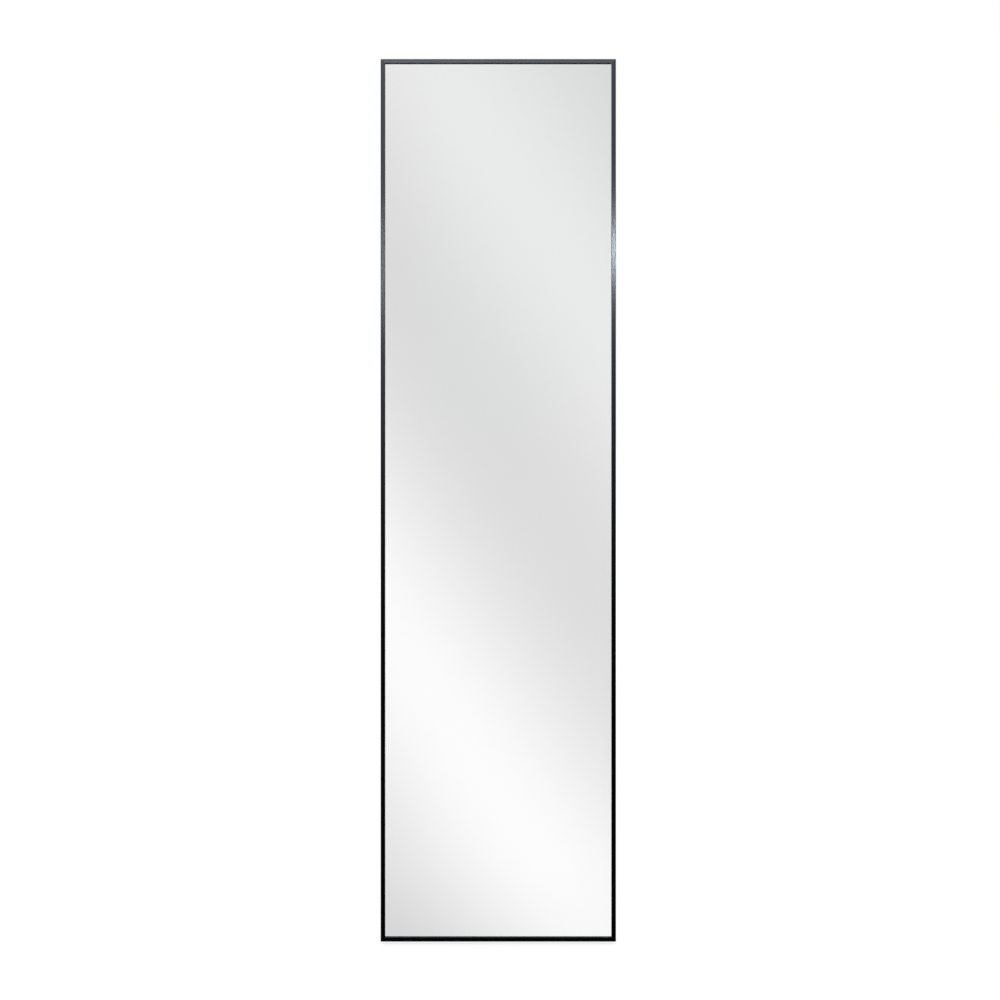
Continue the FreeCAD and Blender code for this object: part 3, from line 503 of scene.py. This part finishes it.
BUMPER = (
    (4.9, 0.0), (5.0, 0.1), (5.0, 0.6), (4.85, 0.85), (4.45, 1.0), (4.2, 1.25), (4.05, 1.7),
    (3.8, 2.15), (3.35, 2.55), (2.7, 2.82), (1.9, 2.95), (0.9, 3.0),
)


# Where they sit. Each corner screw has its distance from the side and that from the end.
BACKWARD = (0, 1, 0)
CORNER_SCREWS = ((7 * MM, 30 * MM), (30 * MM, 7 * MM))
BUMPER_INSET = 7.5 * MM
HINGE_SCREW_PLACE = 184.5 * MM
HINGE_SCREW_RISES = (26 * MM, 46 * MM)
HANGER_PLACE = 192 * MM
HANGER_SCREW_HEIGHTS = (1265 * MM, 1279 * MM)
STRAP_THICKNESS = 1 * MM
PIVOT_HEAD_PLACE = 170 * MM
EYE_PIN_DROP = 27 * MM


def fastener_piece(name, outline, feet, material, body, place=LEANED):
    """Fasteners of one kind as one piece, from the foot of each and the way that it points."""
    mesh = bmesh.new()
    for foot, way in feet:
        turn_up(mesh, outline, foot, way)
    return new_piece(name, mesh, material, body, place)


def at_corners(from_side, from_end):
    """Feet on the back of the frame at its four corners, so far from its sides and its ends."""
    return [
        ((sign * (WIDTH / 2 - from_side), DEPTH, height), BACKWARD)
        for _, sign in SIDES
        for height in (from_end, HEIGHT - from_end)
    ]


def make_pivot_rivets():
    """The rivet that each leg of the stand turns on, with its head towards the middle."""
    for side, sign in SIDES:
        name = f"hinge_rivet_{side}"
        feet = [((sign * PIVOT_HEAD_PLACE, PIVOT_DEPTH, PIVOT_HEIGHT), (-sign, 0, 0))]
        piece = fastener_piece(name, PIVOT_RIVET, feet, plated, "mirror")
        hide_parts(f"pivot_pin_{side}")


def make_corner_screws():
    """Two domed socket screws at each corner of the frame, from behind."""
    name = "corner_button_screws"
    feet = [spot for distances in CORNER_SCREWS for spot in at_corners(*distances)]
    piece = fastener_piece(name, SCREW, feet, black_screw, "mirror")
    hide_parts("corner_screws")


def make_hinge_screws():
    """Two domed socket screws through each hinge bracket, above its pivot."""
    name = "hinge_button_screws"
    feet = [
        ((sign * HINGE_SCREW_PLACE, PIVOT_DEPTH, PIVOT_HEIGHT + rise), (-sign, 0, 0))
        for _, sign in SIDES
        for rise in HINGE_SCREW_RISES
    ]
    piece = fastener_piece(name, SCREW, feet, black_screw, "mirror")
    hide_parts("hinge_screws")


def make_hanger_screws():
    """Two domed socket screws through each hanger strap."""
    name = "hanger_button_screws"
    feet = [
        ((sign * HANGER_PLACE, DEPTH + STRAP_THICKNESS, height), BACKWARD)
        for _, sign in SIDES
        for height in HANGER_SCREW_HEIGHTS
    ]
    piece = fastener_piece(name, SCREW, feet, zinc, "mirror")
    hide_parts("hanger_screws")


def make_bumpers():
    """A domed bumper at each corner of the back."""
    feet = at_corners(BUMPER_INSET, BUMPER_INSET)
    piece = fastener_piece("domed_bumpers", BUMPER, feet, bumper_rubber, "mirror")
    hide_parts("wall_bumpers")


def make_stand_rivets():
    """The rivets across the tube that hold its eyes, on the opened stand."""
    name = "stand_rivets"
    feet = [((sign * LEG_PLACE, 0, -EYE_PIN_DROP), BACKWARD) for _, sign in SIDES]
    piece = fastener_piece(name, STAND_RIVET, feet, plated, "stand", OPENED)
    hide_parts("stand_eye_pins")


def make_silvering():
    """The thin coat on the back of the glass, with a bevel round its front."""
    mesh = bmesh.new()
    front = GLASS_BACK - 0.06 * MM
    back = GLASS_BACK - 0.01 * MM
    bevel = 0.02 * MM
    inset = GLASS_INSET + 0.45 * MM
    rings = []
    for depth, more in ((front, bevel), (front + bevel, 0), (back, 0)):
        x = WIDTH / 2 - inset - more
        low, high = inset + more, HEIGHT - inset - more
        corners = ((-x, low), (x, low), (x, high), (-x, high))
        rings.append([mesh.verts.new((u, depth, v)) for u, v in corners])
    join_rings(mesh, rings)
    new_piece("mirror_silvering", mesh, silver, "mirror")


def rounded_corners(points, radius, steps):
    """An outline in a plane with each of its corners rounded by an arc."""
    outline = []
    for count, point in enumerate(points):
        corner = Vector(point)
        before = (Vector(points[count - 1]) - corner).normalized()
        after = (Vector(points[(count + 1) % len(points)]) - corner).normalized()
        half = before.angle(after) / 2
        middle = corner + (before + after).normalized() * radius / math.sin(half)
        start = corner + before * radius / math.tan(half) - middle
        sweep = start.angle_signed(corner + after * radius / math.tan(half) - middle)
        for step in range(steps + 1):
            spoke = start.copy()
            spoke.rotate(Matrix.Rotation(-sweep * step / steps, 2))
            outline.append(middle + spoke)
    return outline


def square_outline(half, radius, steps):
    """A square with rounded corners."""
    points = ((half, -half), (half, half), (-half, half), (-half, -half))
    return rounded_corners(points, radius, steps)


# The tube's wall and the rounding of its corners, outside and inside; how far below the pivot it
# starts; and the radius of its two bends.
TUBE_WALL = 1 * MM
TUBE_ROUNDING = 1 * MM
BORE_ROUNDING = 0.3 * MM
TUBE_START = 14 * MM
BEND = 40 * MM
BEND_STEPS = 20


def outward(angle):
    """The way out of the U: to the right at first, down after a quarter turn, then left."""
    return Vector((math.cos(angle), 0, -math.sin(angle)))


def make_stand_tube():
    """The square tube, bent into a U: an outer and an inner skin that meet at its ends."""
    path = [(Vector((LEG_PLACE, 0, -TUBE_START)), 0.0)]
    for sign, start in ((1, 0.0), (-1, math.pi / 2)):
        centre = Vector((sign * (LEG_PLACE - BEND), 0, BEND - LEG_LENGTH))
        for step in range(BEND_STEPS + 1):
            angle = start + math.pi / 2 * step / BEND_STEPS
            path.append((centre + outward(angle) * BEND, angle))
    path.append((Vector((-LEG_PLACE, 0, -TUBE_START)), math.pi))
    mesh = bmesh.new()
    skins = []
    for half, radius in ((TUBE_HALF, TUBE_ROUNDING), (TUBE_HALF - TUBE_WALL, BORE_ROUNDING)):
        rings = []
        for place, angle in path:
            out = outward(angle)
            ring = []
            for u, v in square_outline(half, radius, 3):
                ring.append(mesh.verts.new(place + out * u + Vector((0, v, 0))))
            rings.append(ring)
        skins.append(rings)
    outer, inner = skins
    join_rings(mesh, outer + inner[::-1], closed=True)
    piece = new_piece("bent_stand_tube", mesh, black_powder, "stand", OPENED)
    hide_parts("stand_tube")


# Where a sleeve sits along the cross part, and its seven grooves: how far along each edge of a
# groove is, and how deep the groove is there.
SLEEVE_PLACE = 100 * MM
SLEEVE_LENGTH = 40 * MM
SLEEVE_ROUNDING = 1.2 * MM
SLEEVE_BEVEL = 0.5 * MM
GROOVES = range(-3, 4)
GROOVE_PITCH = 4.4 * MM
GROOVE_EDGES = (
    (-0.9 * MM, 0.0), (-0.55 * MM, 0.35 * MM), (0.55 * MM, 0.35 * MM), (0.9 * MM, 0.0),
)


def make_sleeve(side, sign):
    """A ribbed rubber sleeve round the cross part, with a level underside."""

    def underside(depth):
        return (-SLEEVE_HALF - depth * math.sin(STAND_ANGLE)) / math.cos(STAND_ANGLE)

    half = SLEEVE_HALF
    corners = (
        (half, underside(half)), (half, half), (-half, half), (-half, underside(-half)),
    )
    end = SLEEVE_LENGTH / 2
    stations = [(-end, SLEEVE_BEVEL), (-end + SLEEVE_BEVEL, 0.0)]
    for groove in GROOVES:
        for offset, sink in GROOVE_EDGES:
            stations.append((groove * GROOVE_PITCH + offset, sink))
    stations += [(end - SLEEVE_BEVEL, 0.0), (end, SLEEVE_BEVEL)]
    mesh = bmesh.new()
    middle = Vector((sign * SLEEVE_PLACE, 0, -LEG_LENGTH))
    outline = rounded_corners(corners, SLEEVE_ROUNDING, 4)
    outer = []
    for along, sink in stations:
        shrink = 1 - sink / half
        ring = []
        for y, z in outline:
            # The underside stays level, so that the whole sleeve stands on the floor.
            shorter = y * shrink
            level = z + (y - shorter) * math.tan(STAND_ANGLE) if z < 0 else z * shrink
            ring.append(mesh.verts.new(middle + Vector((along, shorter, level))))
        outer.append(ring)
    inner = []
    for along in (end, -end):
        ring = []
        for y, z in square_outline(TUBE_HALF, TUBE_ROUNDING, 4):
            ring.append(mesh.verts.new(middle + Vector((along, y, z))))
        inner.append(ring)
    join_rings(mesh, outer + inner, closed=True)
    piece = new_piece(f"ribbed_sleeve_{side}", mesh, rubber, "stand", OPENED)
    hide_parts(f"stand_sleeve_{side}")


make_silvering()
make_pivot_rivets()
make_corner_screws()
make_hinge_screws()
make_hanger_screws()
make_bumpers()
make_stand_rivets()
make_stand_tube()
for side, sign in SIDES:
    make_sleeve(side, sign)


# The room: a white world, a pale floor, and what the mirror and the black frame reflect. A ray's
# way is measured across, up along the mirror and ahead, out of it; a pair holds two such measures
# between which the light changes.

# The wall that the mirror faces: its light in the middle, and what is added to the right and
# below the horizon. Past its reach on either side it stays the same.
WALL_TONE = 0.695
WALL_TO_RIGHT = 0.16
WALL_BELOW = 0.045
HORIZON = (-0.03, 0.135)
WALL_REACH = 0.7

# Its bands slant. Each has its middle, how far it reaches, and how much light it adds.
WALL_SLANT = 1.47
WALL_BANDS = ((-0.145, 0.105, 0.32), (0.165, 0.095, 0.16), (-0.86, 0.15, 0.2), (0.86, 0.15, 0.2))

# The foot of the wall is darker.
FOOT_RISES = (-0.24, -0.165)
FOOT_LIGHT = -0.09

# What gloss shows: the room before the object and behind it, the flags and the tints. The flag
# at the side has its middle and how far it reaches.
ROOM_AHEAD = 1.05
ROOM_BEHIND = 0.62
ROOM_TURNS = (0.3, 0.8)
IN_FRONT = (0.72, 0.9)
SIDE_FLAG = (0.09, 0.07)
SIDE_FLAG_LIGHT = -0.55
COOL_STARTS = (-0.05, -0.01)
COOL_TINT = colour(0.92, 1.03, 1.2)
ROOM_TINT = colour(1.0, 0.95, 1.0)

# What dull surfaces get from the room.
DULL_LIGHT = colour(0.72, 0.72, 0.72)


def hump(tree, value, middle, reach):
    """A smooth hump, 1 high, round the middle of a range."""
    off = calc(tree, "DIVIDE", calc(tree, "SUBTRACT", value, middle), reach)
    fall = calc(tree, "MULTIPLY", calc(tree, "MULTIPLY", off, off), -1.0)
    return calc(tree, "EXPONENT", fall)


def make_world():
    """White for the camera; a soft, uneven pale studio for the mirror and the frame."""
    world = bpy.data.worlds.new("studio")
    bpy.context.scene.world = world
    world.use_nodes = True
    world.cycles.sampling_method = "NONE"
    tree = world.node_tree
    tree.nodes.clear()
    way = tree.nodes.new("ShaderNodeTexCoord").outputs["Generated"]

    def part_along(direction):
        inputs = {0: way, 1: tuple(direction)}
        made = add(tree, "ShaderNodeVectorMath", inputs, operation="DOT_PRODUCT")
        return made.outputs["Value"]

    ahead = part_along(FACING)
    rise = part_along(UPWARD)
    depth = calc(tree, "MAXIMUM", ahead, 0.05)
    across = calc(tree, "DIVIDE", part_along((1, 0, 0)), depth)
    across = calc(tree, "MAXIMUM", calc(tree, "MINIMUM", across, WALL_REACH), -WALL_REACH)
    up = calc(tree, "DIVIDE", rise, depth)

    # The wall that the mirror faces has a soft slanting band of light low down and one high up.
    slant = calc(tree, "MULTIPLY_ADD", across, WALL_SLANT, up)
    below = span(tree, rise, *HORIZON, 1.0, 0.0)
    wall = calc(tree, "MULTIPLY_ADD", across, WALL_TO_RIGHT, WALL_TONE)
    wall = calc(tree, "MULTIPLY_ADD", below, WALL_BELOW, wall)
    for middle, reach, light in WALL_BANDS:
        wall = calc(tree, "MULTIPLY_ADD", hump(tree, slant, middle, reach), light, wall)
    lowest = span(tree, rise, *FOOT_RISES, 1.0, 0.0)
    wall = calc(tree, "MULTIPLY_ADD", lowest, FOOT_LIGHT, wall)

    # A dark flag round the camera and below it keeps the lower half of the frame black, and
    # a fainter one stands beside the strip on the right.
    in_front = span(tree, ahead, *IN_FRONT)
    flag = calc(tree, "MULTIPLY", in_front, below)
    room = span(tree, ahead, *ROOM_TURNS, ROOM_BEHIND, ROOM_AHEAD)
    around = calc(tree, "MULTIPLY", calc(tree, "SUBTRACT", 1.0, flag), room)
    beside = calc(tree, "MULTIPLY", in_front, hump(tree, across, *SIDE_FLAG))
    unflagged = calc(tree, "MULTIPLY_ADD", beside, SIDE_FLAG_LIGHT, 1.0)
    around = calc(tree, "MULTIPLY", around, unflagged)

    # In front, to the right, the light that the gloss shows is a little bluer than elsewhere.
    cool_side = calc(tree, "MULTIPLY", in_front, span(tree, across, *COOL_STARTS))
    around = stretched(tree, blended(tree, cool_side, ROOM_TINT, COOL_TINT), around)

    path = tree.nodes.new("ShaderNodeLightPath").outputs
    grey = blended(tree, path["Is Glossy Ray"], DULL_LIGHT, around)
    seen = blended(tree, path["Is Transmission Ray"], grey, wall)
    seen = blended(tree, path["Is Camera Ray"], seen, colour(1, 1, 1))
    background = add(tree, "ShaderNodeBackground", {"Color": seen, "Strength": 1.0})
    add(tree, "ShaderNodeOutputWorld", {"Surface": background.outputs[0]})


# Gloss shows the floor behind the first of these pairs, and to either side of the second.
FLOOR_RADIUS = 4.5
FLOOR_OPENS = (-0.2, 0.0)
FLOOR_BESIDE = (0.5, 0.9)

# The floor's own light, near and far; and the distances over which it loses some in the mirror.
GLOW = (0.82, 0.88)
GLOW_GROWS = (0.5, 2.8)
GLOW_FADES = (0.9, 4.4)
GLOW_LOST = -0.36


def make_floor():
    """A pale floor that is white to the eye and takes the object's soft shadow."""
    mesh = bmesh.new()
    bmesh.ops.create_circle(mesh, cap_ends=True, segments=96, radius=FLOOR_RADIUS)
    data = bpy.data.meshes.new("floor")
    mesh.to_mesh(data)
    mesh.free()
    floor = bpy.data.objects.new("floor", data)
    bpy.context.scene.collection.objects.link(floor)
    material, tree, place = new_material("pale_floor")
    path = tree.nodes.new("ShaderNodeLightPath").outputs
    shown = calc(tree, "MAXIMUM", path["Is Camera Ray"], path["Is Transmission Ray"])
    clouds = noise(tree, place, 6, 3.0)
    pale = blended(tree, clouds, colour(0.215, 0.215, 0.215), colour(0.225, 0.225, 0.225))
    shaded = add(tree, "ShaderNodeBsdfDiffuse", {"Color": pale}).outputs[0]

    # Gloss shows the floor too, except in front, where the flag hides it.
    x, y, _ = parts_of(tree, place)
    beside = span(tree, calc(tree, "ABSOLUTE", x), *FLOOR_BESIDE)
    open_floor = calc(tree, "MAXIMUM", span(tree, y, *FLOOR_OPENS), beside)
    glossy = calc(tree, "MULTIPLY", path["Is Glossy Ray"], open_floor)
    shown = calc(tree, "MAXIMUM", shown, glossy)
    away = add(tree, "ShaderNodeVectorMath", {0: place}, operation="LENGTH").outputs["Value"]
    light = span(tree, away, *GLOW_GROWS, *GLOW)

    # In the mirror the floor fades into the wall with its distance.
    faded = calc(tree, "MULTIPLY", path["Is Transmission Ray"], span(tree, away, *GLOW_FADES))
    light = calc(tree, "MULTIPLY_ADD", faded, GLOW_LOST, light)
    glow = add(tree, "ShaderNodeEmission", {"Color": colour(1, 1, 1), "Strength": light})
    bright = add(tree, "ShaderNodeAddShader", {0: shaded, 1: glow.outputs[0]}).outputs[0]
    hidden = calc(tree, "SUBTRACT", path["Is Glossy Ray"], glossy)
    tone = blended(tree, hidden, colour(0.7, 0.7, 0.7), colour(0.003, 0.003, 0.003))
    plain = add(tree, "ShaderNodeBsdfDiffuse", {"Color": tone}).outputs[0]
    mixed = add(tree, "ShaderNodeMixShader", {0: shown, 1: plain, 2: bright}).outputs[0]
    add(tree, "ShaderNodeOutputMaterial", {"Surface": mixed})
    data.materials.append(material)


def make_lamp(name, place, aim, size, power, tone):
    """A soft box that lights the object and shows in its gloss, but not in the mirror."""
    lamp = bpy.data.lights.new(name, "AREA")
    lamp.shape = "RECTANGLE"
    lamp.size, lamp.size_y = size
    lamp.energy = power
    lamp.color = tone
    holder = bpy.data.objects.new(name, lamp)
    bpy.context.scene.collection.objects.link(holder)
    holder.location = place
    holder.rotation_euler = (Vector(aim) - Vector(place)).to_track_quat("-Z", "Y").to_euler()
    holder.visible_camera = False
    holder.visible_transmission = False


# Each lamp's place, aim, size, power and tone. The strips show on the stiles.
LAMPS = {
    "key": ((0.3, -2.16, 3.14), (0, 0, 0.8), (1.8, 0.8), 34, (0.97, 0.99, 1.0)),
    "right_strip": ((0.45, -2.95, 2.19), (0.2, 0.075, 1.15), (0.06, 0.1), 2.5, (0.97, 0.96, 1.0)),
    "left_strip": ((-0.46, -2.95, 2.13), (-0.2, 0.07, 1.1), (0.06, 0.3), 0.9, (0.96, 0.98, 1.0)),
    "back_fill": ((-1.6, 2.4, 2.2), (0, 0, 0.7), (1.5, 1.5), 30, (1.0, 1.0, 1.0)),
    "side_fill": ((2.6, 0.6, 1.8), (0, 0, 0.7), (1.2, 1.6), 18, (1.0, 1.0, 1.0)),
}

make_world()
make_floor()
for name, settings in LAMPS.items():
    make_lamp(name, *settings)


# The camera looks at the middle of the mirror, square to it. Lens and sensor are in millimetres,
# and the shifts in shares of the picture's width.
DISTANCE = 3.5
LENS = 50
SENSOR = 24.286
SHIFT_RIGHT = 0.0017
SHIFT_UP = 0.0003

view = bpy.data.cameras.new("camera")
view.lens = LENS
view.sensor_width = SENSOR
view.shift_x = SHIFT_RIGHT
view.shift_y = SHIFT_UP
camera = bpy.data.objects.new("camera", view)
bpy.context.scene.collection.objects.link(camera)
middle = LEANED @ Vector((0, GLASS_FRONT, HEIGHT / 2))
camera.location = middle + FACING * DISTANCE
camera.rotation_euler = (math.pi / 2 - LEAN, 0, 0)
bpy.context.scene.camera = camera
bpy.context.scene.view_settings.view_transform = "Standard"
